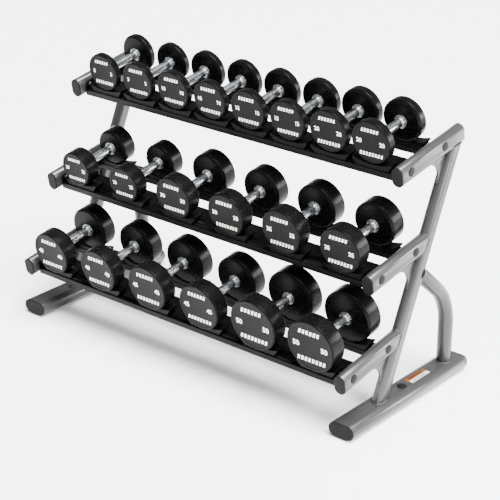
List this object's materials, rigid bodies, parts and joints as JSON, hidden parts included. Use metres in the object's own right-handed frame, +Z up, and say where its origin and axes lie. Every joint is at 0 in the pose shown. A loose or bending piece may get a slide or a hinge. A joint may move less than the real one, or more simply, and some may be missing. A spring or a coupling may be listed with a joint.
{
  "type": "dumbbell rack",
  "caption": "Three-tier steel dumbbell rack with sloping shelves, curved saddles and pairs of round dumbbells resting on them.",
  "frame": {"origin": "on the floor, under the middle of the whole object's outline", "axes": "+X along the rack to the right seen from the front, +Y to the rear, +Z up; the user stands at -Y"},
  "size_m": [1.497, 0.6942, 0.9911],
  "materials": {
    "silver_paint": "satin powder coat",
    "black_paint": "satin powder coat",
    "saddle": "fine grain",
    "dark_plastic": "fine grain",
    "rubber": "matte",
    "label": "printed film",
    "zinc_steel": "zinc plated",
    "dumbbell": "matte urethane over iron, with a chrome handle"
  },
  "bodies": {
    "rack": {"arm_front_caps": "dark_plastic", "bolt_covers": "dark_plastic", "bottom_end_plates": "black_paint", "bottom_front_rail": "black_paint", "bottom_front_saddles": "saddle", "bottom_rear_rail": "black_paint", "bottom_rear_saddles": "saddle", "foot_front_caps": "dark_plastic", "foot_label": "label", "foot_pads": "rubber", "foot_plugs": "dark_plastic", "left_bottom_arm": "silver_paint", "left_foot_tube": "silver_paint", "left_gussets": "silver_paint", "left_middle_arm": "silver_paint", "left_rear_brace": "silver_paint", "left_top_arm": "silver_paint", "left_upright_tube": "silver_paint", "middle_end_plates": "black_paint", "middle_front_rail": "black_paint", "middle_front_saddles": "saddle", "middle_rear_rail": "black_paint", "middle_rear_saddles": "saddle", "rail_bolts": "zinc_steel", "rail_nuts": "zinc_steel", "rear_caps": "silver_paint", "right_bottom_arm": "silver_paint", "right_foot_tube": "silver_paint", "right_gussets": "silver_paint", "right_middle_arm": "silver_paint", "right_rear_brace": "silver_paint", "right_top_arm": "silver_paint", "right_upright_tube": "silver_paint", "saddle_screws": "zinc_steel", "top_end_plates": "black_paint", "top_front_rail": "black_paint", "top_front_saddles": "saddle", "top_rear_rail": "black_paint", "top_rear_saddles": "saddle"},
    "dumbbell_05_a": {"dumbbell_05_a": "dumbbell"},
    "dumbbell_05_b": {"dumbbell_05_b": "dumbbell"},
    "dumbbell_10_a": {"dumbbell_10_a": "dumbbell"},
    "dumbbell_10_b": {"dumbbell_10_b": "dumbbell"},
    "dumbbell_15_a": {"dumbbell_15_a": "dumbbell"},
    "dumbbell_15_b": {"dumbbell_15_b": "dumbbell"},
    "dumbbell_20_a": {"dumbbell_20_a": "dumbbell"},
    "dumbbell_20_b": {"dumbbell_20_b": "dumbbell"},
    "dumbbell_25_a": {"dumbbell_25_a": "dumbbell"},
    "dumbbell_25_b": {"dumbbell_25_b": "dumbbell"},
    "dumbbell_30_a": {"dumbbell_30_a": "dumbbell"},
    "dumbbell_30_b": {"dumbbell_30_b": "dumbbell"},
    "dumbbell_35_a": {"dumbbell_35_a": "dumbbell"},
    "dumbbell_35_b": {"dumbbell_35_b": "dumbbell"},
    "dumbbell_40_a": {"dumbbell_40_a": "dumbbell"},
    "dumbbell_40_b": {"dumbbell_40_b": "dumbbell"},
    "dumbbell_45_a": {"dumbbell_45_a": "dumbbell"},
    "dumbbell_45_b": {"dumbbell_45_b": "dumbbell"},
    "dumbbell_50_a": {"dumbbell_50_a": "dumbbell"},
    "dumbbell_50_b": {"dumbbell_50_b": "dumbbell"}
  },
  "joints": [
    {"name": "lift_05_a", "type": "slide", "parent": "rack", "child": "dumbbell_05_a", "axis": [0, -0.1702, 0.9854], "range_m": [0, 0.26]},
    {"name": "lift_05_b", "type": "slide", "parent": "rack", "child": "dumbbell_05_b", "axis": [0, -0.1702, 0.9854], "range_m": [0, 0.26]},
    {"name": "lift_10_a", "type": "slide", "parent": "rack", "child": "dumbbell_10_a", "axis": [0, -0.1702, 0.9854], "range_m": [0, 0.26]},
    {"name": "lift_10_b", "type": "slide", "parent": "rack", "child": "dumbbell_10_b", "axis": [0, -0.1702, 0.9854], "range_m": [0, 0.26]},
    {"name": "lift_15_a", "type": "slide", "parent": "rack", "child": "dumbbell_15_a", "axis": [0, -0.1702, 0.9854], "range_m": [0, 0.26]},
    {"name": "lift_15_b", "type": "slide", "parent": "rack", "child": "dumbbell_15_b", "axis": [0, -0.1702, 0.9854], "range_m": [0, 0.26]},
    {"name": "lift_20_a", "type": "slide", "parent": "rack", "child": "dumbbell_20_a", "axis": [0, -0.1702, 0.9854], "range_m": [0, 0.26]},
    {"name": "lift_20_b", "type": "slide", "parent": "rack", "child": "dumbbell_20_b", "axis": [0, -0.1702, 0.9854], "range_m": [0, 0.26]},
    {"name": "lift_25_a", "type": "slide", "parent": "rack", "child": "dumbbell_25_a", "axis": [0, -0.9511, 0.309], "range_m": [0, 0.4]},
    {"name": "lift_25_b", "type": "slide", "parent": "rack", "child": "dumbbell_25_b", "axis": [0, -0.9511, 0.309], "range_m": [0, 0.4]},
    {"name": "lift_30_a", "type": "slide", "parent": "rack", "child": "dumbbell_30_a", "axis": [0, -0.9511, 0.309], "range_m": [0, 0.4]},
    {"name": "lift_30_b", "type": "slide", "parent": "rack", "child": "dumbbell_30_b", "axis": [0, -0.9511, 0.309], "range_m": [0, 0.4]},
    {"name": "lift_35_a", "type": "slide", "parent": "rack", "child": "dumbbell_35_a", "axis": [0, -0.9511, 0.309], "range_m": [0, 0.4]},
    {"name": "lift_35_b", "type": "slide", "parent": "rack", "child": "dumbbell_35_b", "axis": [0, -0.9511, 0.309], "range_m": [0, 0.4]},
    {"name": "lift_40_a", "type": "slide", "parent": "rack", "child": "dumbbell_40_a", "axis": [0, -0.9848, 0.1736], "range_m": [0, 0.4]},
    {"name": "lift_40_b", "type": "slide", "parent": "rack", "child": "dumbbell_40_b", "axis": [0, -0.9848, 0.1736], "range_m": [0, 0.4]},
    {"name": "lift_45_a", "type": "slide", "parent": "rack", "child": "dumbbell_45_a", "axis": [0, -0.9848, 0.1736], "range_m": [0, 0.4]},
    {"name": "lift_45_b", "type": "slide", "parent": "rack", "child": "dumbbell_45_b", "axis": [0, -0.9848, 0.1736], "range_m": [0, 0.4]},
    {"name": "lift_50_a", "type": "slide", "parent": "rack", "child": "dumbbell_50_a", "axis": [0, -0.9848, 0.1736], "range_m": [0, 0.4]},
    {"name": "lift_50_b", "type": "slide", "parent": "rack", "child": "dumbbell_50_b", "axis": [0, -0.9848, 0.1736], "range_m": [0, 0.4]}
  ]
}
